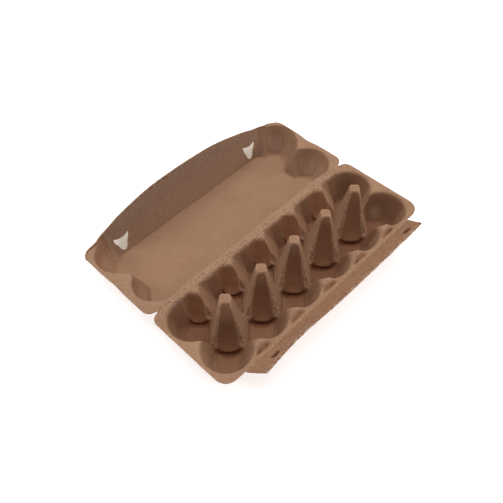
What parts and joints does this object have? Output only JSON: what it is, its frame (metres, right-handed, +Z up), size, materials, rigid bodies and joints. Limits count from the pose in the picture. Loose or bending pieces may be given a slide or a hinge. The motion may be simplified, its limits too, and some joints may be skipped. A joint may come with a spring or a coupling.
{
  "type": "egg carton",
  "caption": "Open moulded-pulp egg carton: tray of round cells between tapered posts, a creased-on lid with a curved front lip and lock windows, and a folding locking flap with buttons.",
  "frame": {"origin": "on the table, under the middle of the outline of the carton as it lies open", "axes": "+X along the row of cells, +Y from the locking flap towards the lid's front wall, +Z up"},
  "size_m": [0.3, 0.2458, 0.072],
  "materials": {
    "pulp_tray": "matt, rough moulded pulp",
    "pulp_lid": "matt, rough moulded pulp",
    "pulp_flap": "matt, rough moulded pulp"
  },
  "bodies": {
    "tray": {"tray_rim": "pulp_tray", "lid_crease": "pulp_tray", "flap_crease": "pulp_tray", "cell_front_1": "pulp_tray", "cell_front_2": "pulp_tray", "cell_front_3": "pulp_tray", "cell_front_4": "pulp_tray", "cell_front_5": "pulp_tray", "cell_front_6": "pulp_tray", "cell_back_1": "pulp_tray", "cell_back_2": "pulp_tray", "cell_back_3": "pulp_tray", "cell_back_4": "pulp_tray", "cell_back_5": "pulp_tray", "cell_back_6": "pulp_tray", "post_1": "pulp_tray", "post_2": "pulp_tray", "post_3": "pulp_tray", "post_4": "pulp_tray", "post_5": "pulp_tray"},
    "lid": {"lid_rim": "pulp_lid", "lid_panel": "pulp_lid", "lid_front_wall": "pulp_lid", "lid_back_wall": "pulp_lid", "lid_end_left": "pulp_lid", "lid_end_right": "pulp_lid"},
    "flap": {"locking_flap": "pulp_flap", "lock_button_left": "pulp_flap", "lock_button_right": "pulp_flap"}
  },
  "joints": [
    {"name": "lid_hinge", "type": "hinge", "parent": "tray", "child": "lid", "pos_m": [0, 0.00604, 0.0378], "axis": [1, 0, 0], "range_deg": [0, 180]},
    {"name": "flap_fold", "type": "hinge", "parent": "tray", "child": "flap", "pos_m": [0, -0.10267, 0.0368], "axis": [-1, 0, 0], "range_deg": [0, 57.6]}
  ],
  "couplings": [
    {"joint": "flap_fold", "follows": "lid_hinge", "ratio": 0.32}
  ]
}
